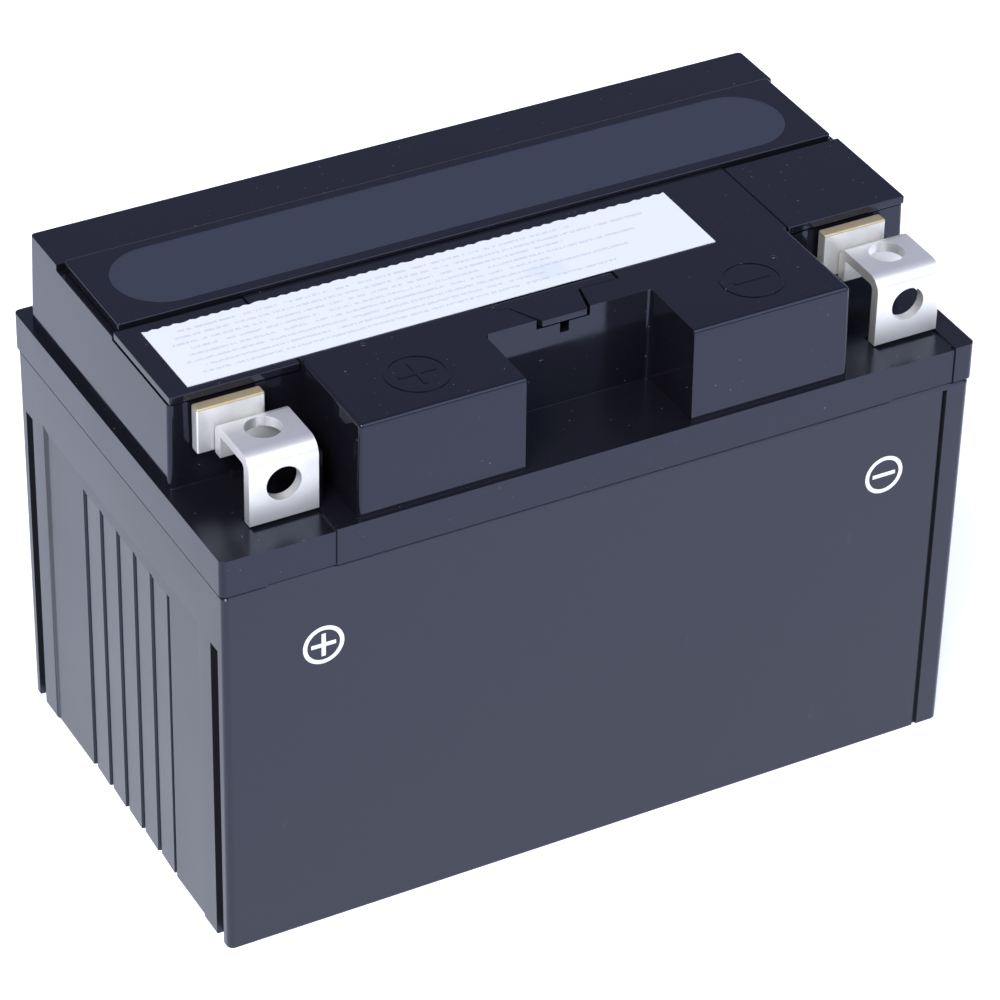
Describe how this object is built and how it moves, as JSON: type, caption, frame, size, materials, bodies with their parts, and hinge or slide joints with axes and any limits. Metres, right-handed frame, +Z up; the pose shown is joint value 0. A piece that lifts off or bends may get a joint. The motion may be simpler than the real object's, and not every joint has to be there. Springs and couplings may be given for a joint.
{
  "type": "motorcycle battery",
  "caption": "Sealed maintenance-free lead-acid motorcycle battery: ribbed black case, glossy stepped lid, plug strip and bent screw terminals.",
  "frame": {"origin": "middle of the underside that the battery stands on", "axes": "+X along the length towards the negative terminal, -Y towards the terminals' front, +Z up"},
  "size_m": [0.15, 0.087, 0.105],
  "materials": {
    "case_plastic": "satin black polypropylene",
    "lid_plastic": "polished black plastic",
    "strip_plastic": "polished black with a fine matte field",
    "label_paper": "matte white paper",
    "tinned_metal": "bright tinned lead alloy",
    "cast_lead": "dull cast lead",
    "lead_oxide_paste": "chalky brown paste on a lead grid",
    "sponge_lead_paste": "dull grey paste on a lead grid",
    "glass_mat": "white glass fibre mat",
    "black_rubber": "soft black rubber",
    "potting_resin": "cast dark red epoxy",
    "porous_ceramic": "porous off-white ceramic"
  },
  "bodies": {
    "battery": {"container": "case_plastic", "lid": "lid_plastic", "vent_cover": "lid_plastic", "flame_filter": "porous_ceramic", "top_label": "label_paper", "positive_terminal": "tinned_metal", "positive_riser": "tinned_metal", "positive_pole_seal": "black_rubber", "positive_resin": "potting_resin", "positive_cover": "lid_plastic", "negative_terminal": "tinned_metal", "negative_riser": "tinned_metal", "negative_pole_seal": "black_rubber", "negative_resin": "potting_resin", "negative_cover": "lid_plastic", "positive_plates_1": "lead_oxide_paste", "negative_plates_1": "sponge_lead_paste", "separator_1": "glass_mat", "positive_plates_2": "lead_oxide_paste", "negative_plates_2": "sponge_lead_paste", "separator_2": "glass_mat", "positive_plates_3": "lead_oxide_paste", "negative_plates_3": "sponge_lead_paste", "separator_3": "glass_mat", "positive_plates_4": "lead_oxide_paste", "negative_plates_4": "sponge_lead_paste", "separator_4": "glass_mat", "positive_plates_5": "lead_oxide_paste", "negative_plates_5": "sponge_lead_paste", "separator_5": "glass_mat", "positive_plates_6": "lead_oxide_paste", "negative_plates_6": "sponge_lead_paste", "separator_6": "glass_mat", "cell_link_1": "cast_lead", "cell_link_2": "cast_lead", "cell_link_3": "cast_lead", "cell_link_4": "cast_lead", "cell_link_5": "cast_lead"},
    "filler_strip": {"plug_strip": "strip_plastic", "plug_seal_1": "black_rubber", "plug_seal_2": "black_rubber", "plug_seal_3": "black_rubber", "plug_seal_4": "black_rubber", "plug_seal_5": "black_rubber", "plug_seal_6": "black_rubber"},
    "relief_valve": {"relief_valve_cap": "black_rubber"}
  },
  "joints": [
    {"name": "filler_strip_lift", "type": "slide", "parent": "battery", "child": "filler_strip", "axis": [0, 0, 1], "range_m": [0, 0.015]},
    {"name": "relief_valve_lift", "type": "slide", "parent": "battery", "child": "relief_valve", "axis": [0, 0, 1], "range_m": [0, 0.0008], "stiffness_N_per_m": 250, "springref_m": -0.0015}
  ]
}
